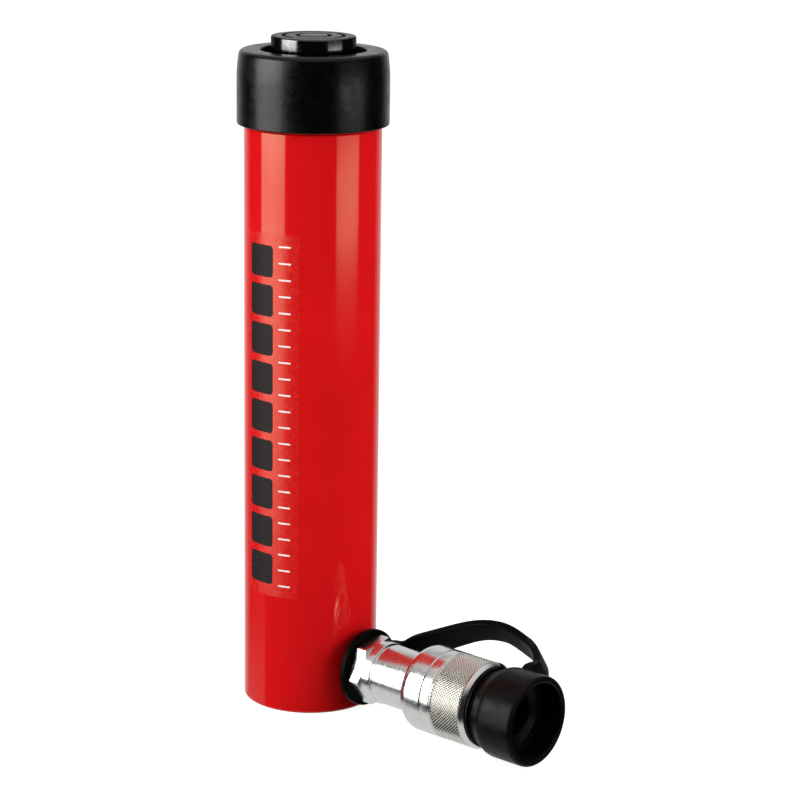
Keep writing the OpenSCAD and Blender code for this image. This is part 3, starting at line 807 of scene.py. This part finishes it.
def knurl(start, end, step):
    """Radius over the knurled band, whose points are tips of diamonds and the lows between, in turn."""
    def shape(r, angle, along):
        if abs(r - mm(SLEEVE_R)) > 0.011 or not start + 0.01 < along < end - 0.01:
            return r
        low = (round(angle / TURN * KNURLS_ROUND * 2) + round((along - start) / step)) % 2
        return r - KNURL_DEPTH * low
    return shape


def knurled_sleeve():
    r = mm(SLEEVE_R)
    start, end = mm(SLEEVE_START), mm(SLEEVE_END)
    groove = 78.0
    knurl_from, knurl_to = 83.2, 99.4
    rows = round((knurl_to - knurl_from) / (TURN * r / KNURLS_ROUND / 2))
    step = (knurl_to - knurl_from) / rows
    band = [np.array((r, knurl_from + step * i)) for i in range(rows + 1)]
    back = [np.array((r - 5.6 + 5.6 * math.cos(a), start + 5.6 + 5.6 * math.sin(a)))
            for a in np.radians(np.linspace(-72, 0, 12))]
    points = ([np.array((12.75, start))] + back
              + outline((r, groove - 0.5, 0.15), (r - 0.5, groove, 0.12), (r, groove + 0.5, 0.15),
                        (r, knurl_from - 0.6, 0.1), (r - 0.12, knurl_from - 0.3, 0.1))
              + band
              + outline((r - 0.05, knurl_to + 0.15), (r - 1.3, end, 0.25), (15.2, end, 0.3),
                        (14.3, end - 0.7), (14.3, 72, 0.3), (12.75, 72)))
    piece = turned("knurled_sleeve", points, "knurled_plating", steps=KNURLS_ROUND * 2, to_place=on_port,
                   shape=knurl(knurl_from, knurl_to, step), sharp=30)
    plain = MATERIALS["bright_plating"]
    piece.data.materials.append(plain)
    for face in piece.data.polygons:
        along = face.center.x / MM
        away = math.hypot(face.center.y, face.center.z - PORT_Z) / MM
        if not (knurl_from < along < knurl_to and away > r - 0.5):
            face.material_index = 1
    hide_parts("coupler_sleeve")
    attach(piece, "coupler_sleeve")


# ---------------------------------------------------------------- dust cap, ring and strap


def tether_ring():
    x0, x1, r = mm(ring_lo.x), mm(ring_hi.x), mm(RING_R)
    hub, thick = 11, 3
    points = outline((8.7, x0), (hub, x0, 0.6), (hub, x1 - thick, 0.4), (r, x1 - thick, 1.1), (r, x1, 1.0),
                     (12.4, x1, 0.6), (12.0, x1 - 0.3, 0.2), (8.7, x1 - 0.3), parts=8)
    piece = turned("tether_ring", points, "black_rubber", to_place=on_port, sharp=45)
    piece.data.materials[0] = MATERIALS["strap_rubber"]
    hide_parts("strap_ring")
    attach(piece, "cap_tether")


def rubber_cap():
    r, end = mm(CAP_R), mm(CAP_END)
    mouth, recess = 16.0, 9.9
    sleeve = mm(SLEEVE_END)
    points = outline((0, 98), (10.6, 98, 0.4), (10.6, 89, 0.4), (13.9, 89, 0.8), (13.9, sleeve + 0.5, 0.2),
                     (16.9, sleeve + 0.5, 0.4), (17.0, sleeve + 1.5, 0.4), (15.7, sleeve + 1.9, 0.3),
                     (17.6, 107.2, 2.0), (r, 109.6, 1.6), (r, end - 1.2, 0.6), (r - 0.35, end, 0.9),
                     (mouth, end, 0.9), (mouth - 0.4, 115.2, 0.4), (recess + 3.1, 115.2, 0.3),
                     (recess, 113.4, 0.4),
                     (recess - 0.3, 105, 1.0),
                     (0, 105), parts=6)
    piece = turned("rubber_dust_cap", points, "black_rubber", steps=176, to_place=on_port, sharp=45)
    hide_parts("dust_cap")
    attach(piece, "dust_cap")


# Strap, as [place along the port's axis, distance from it, angle back from the top]
STRAP_KNOTS = [(33.7, 16.2, 87), (38.5, 20.6, 84), (47.1, 23.7, 71.1), (69.4, 31.7, 55.5),
               (83.7, 35.7, 55.5), (95.9, 34.6, 61), (107, 28.9, 56), (113, 22.8, 51), (114.5, 19.0, 47)]
STRAP_WIDTH = 11.0
STRAP_THICK = 3.2


def curve_through(knots, steps):
    """Points of a smooth curve through the knots."""
    k = np.array(knots, float)
    p = np.vstack([2 * k[0] - k[1], k, 2 * k[-1] - k[-2]])
    points = []
    for a, b, c, d in zip(p, p[1:], p[2:], p[3:]):
        for j in range(steps):
            t = j / steps
            points.append((2 * b + (c - a) * t + (2 * a - 5 * b + 4 * c - d) * t * t
                           + (3 * b - a - 3 * c + d) * t ** 3) / 2)
    points.append(k[-1])
    return points


def rounded_section(width, thick, corner, parts=5):
    """Points of a rectangle with round corners, as (across, up)."""
    points = []
    for sx, sy, first in ((1, 1, 0), (-1, 1, 90), (-1, -1, 180), (1, -1, 270)):
        for k in range(parts + 1):
            a = math.radians(first + 90 * k / parts)
            points.append((sx * (width / 2 - corner) + corner * math.cos(a),
                           sy * (thick / 2 - corner) + corner * math.sin(a)))
    return points


def tether_strap():
    route = curve_through(STRAP_KNOTS, 12)
    last_leg = np.array(route[-1]) - np.array(route[-2])
    last_leg[2] = 0
    for _ in range(4):
        route.append(route[-1] + last_leg / np.linalg.norm(last_leg) * 0.55)
    places = [np.array(on_port(r, math.radians(a), x)) for x, r, a in route]
    length = np.concatenate([[0], np.cumsum([np.linalg.norm(b - a) for a, b in zip(places, places[1:])])])
    rings = []
    for i, (place, (x, r, a)) in enumerate(zip(places, route)):
        ahead = places[min(i + 1, len(places) - 1)] - places[max(i - 1, 0)]
        along = ahead / np.linalg.norm(ahead)
        level = np.array((0, math.cos(math.radians(a)), -math.sin(math.radians(a))))
        up = np.cross(along, level)
        up /= np.linalg.norm(up)
        across = np.cross(up, along)
        from_root = (length[-1] - length[i]) / MM
        from_ring = length[i] / MM
        flare = math.exp(-(from_root / 3.4) ** 2)
        lead = math.exp(-(from_ring / 4.0) ** 2)
        width = STRAP_WIDTH + 2.5 * flare + 2.0 * lead
        thick = STRAP_THICK + 6.0 * flare + 1.2 * lead
        middle = 2.2 * flare * math.copysign(1, -up[0])
        rings.append([tuple(place + (s * across + (t + middle) * up) * MM)
                      for s, t in rounded_section(width, thick, 0.9)])
    piece = swept("tether_strap", rings, "black_rubber", sharp=50)
    piece.data.materials[0] = MATERIALS["strap_rubber"]
    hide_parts("cap_strap")
    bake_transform(piece)


# ---------------------------------------------------------------- the scene


def finish_cad_nodes():
    """Gives every CAD node that still shows its material."""
    slots = {row["node"]: row["material_slot"] for row in frame["record"]["subparts"]}
    for name, node in frame["nodes"].items():
        node.data.materials.clear()
        node.data.materials.append(MATERIALS[slots[name]])


make_camera()
make_stage()
finish_cad_nodes()
painted_body()
collar()
saddle()
springs()
decal()
hex_body()
knurled_sleeve()
tether_ring()
rubber_cap()
tether_strap()
